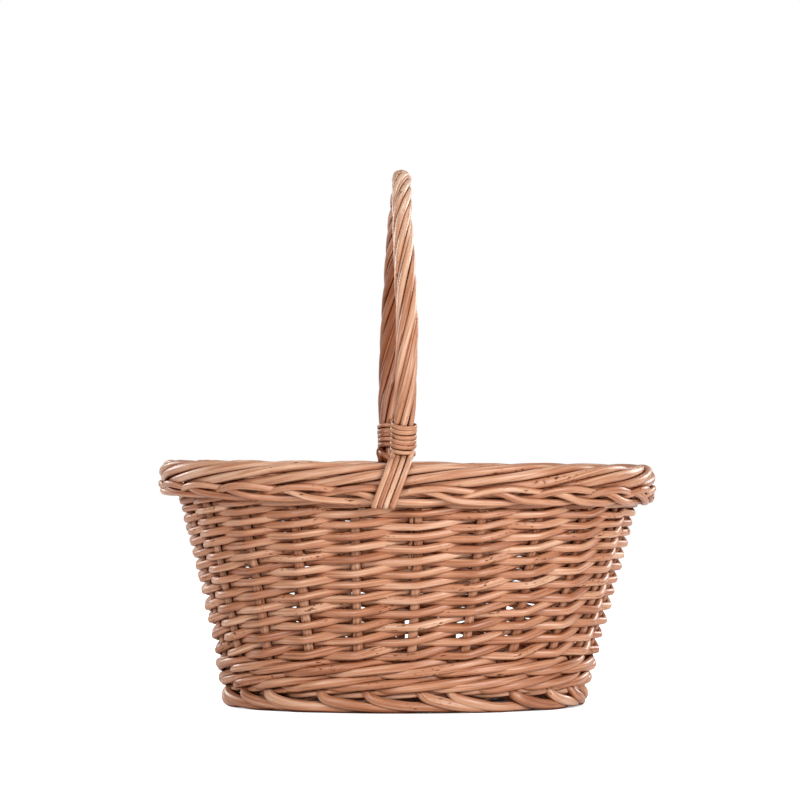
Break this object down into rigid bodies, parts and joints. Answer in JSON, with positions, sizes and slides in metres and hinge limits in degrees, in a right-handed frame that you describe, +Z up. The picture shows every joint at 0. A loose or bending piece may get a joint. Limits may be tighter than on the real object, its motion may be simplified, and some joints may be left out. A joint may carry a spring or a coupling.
{
  "type": "basket",
  "caption": "Oval willow basket with French-randed sides, a waled upsett, a rolled border over a plaited trac, and a fixed roped bow handle lapped at both feet.",
  "frame": {"origin": "on the ground, under the middle of the basket", "axes": "+Z up, +X along the length, -Y toward the front of the picture"},
  "size_m": [0.32, 0.2507, 0.3439],
  "materials": {
    "stake_willow": "varnished",
    "weaver_willow": "varnished",
    "handle_willow": "varnished"
  },
  "bodies": {
    "root": {"stake_01": "stake_willow", "stake_02": "stake_willow", "stake_03": "stake_willow", "stake_04": "stake_willow", "stake_05": "stake_willow", "stake_06": "stake_willow", "stake_07": "stake_willow", "stake_08": "stake_willow", "stake_09": "stake_willow", "stake_10": "stake_willow", "stake_11": "stake_willow", "stake_12": "stake_willow", "stake_13": "stake_willow", "stake_14": "stake_willow", "stake_15": "stake_willow", "stake_16": "stake_willow", "stake_17": "stake_willow", "stake_18": "stake_willow", "stake_19": "stake_willow", "stake_20": "stake_willow", "stake_21": "stake_willow", "stake_22": "stake_willow", "base_slath": "stake_willow", "foot_border": "stake_willow", "weaver_01": "weaver_willow", "weaver_02": "weaver_willow", "weaver_03": "weaver_willow", "weaver_04": "weaver_willow", "weaver_05": "weaver_willow", "weaver_06": "weaver_willow", "weaver_07": "weaver_willow", "weaver_08": "weaver_willow", "weaver_09": "weaver_willow", "weaver_10": "weaver_willow", "weaver_11": "weaver_willow", "weaver_12": "weaver_willow", "weaver_13": "weaver_willow", "weaver_14": "weaver_willow", "weaver_15": "weaver_willow", "weaver_16": "weaver_willow", "weaver_17": "weaver_willow", "weaver_18": "weaver_willow", "weaver_19": "weaver_willow", "weaver_20": "weaver_willow", "weaver_21": "weaver_willow", "weaver_22": "weaver_willow", "base_weave": "weaver_willow", "upsett_wale": "weaver_willow", "border_trac": "weaver_willow", "handle_bow": "handle_willow", "roping_rod_01": "handle_willow", "roping_rod_02": "handle_willow", "roping_rod_03": "handle_willow", "roping_rod_04": "handle_willow", "roping_rod_05": "handle_willow", "roping_rod_06": "handle_willow", "roping_rod_07": "handle_willow", "roping_rod_08": "handle_willow", "front_lapping": "handle_willow", "back_lapping": "handle_willow"}
  },
  "joints": []
}
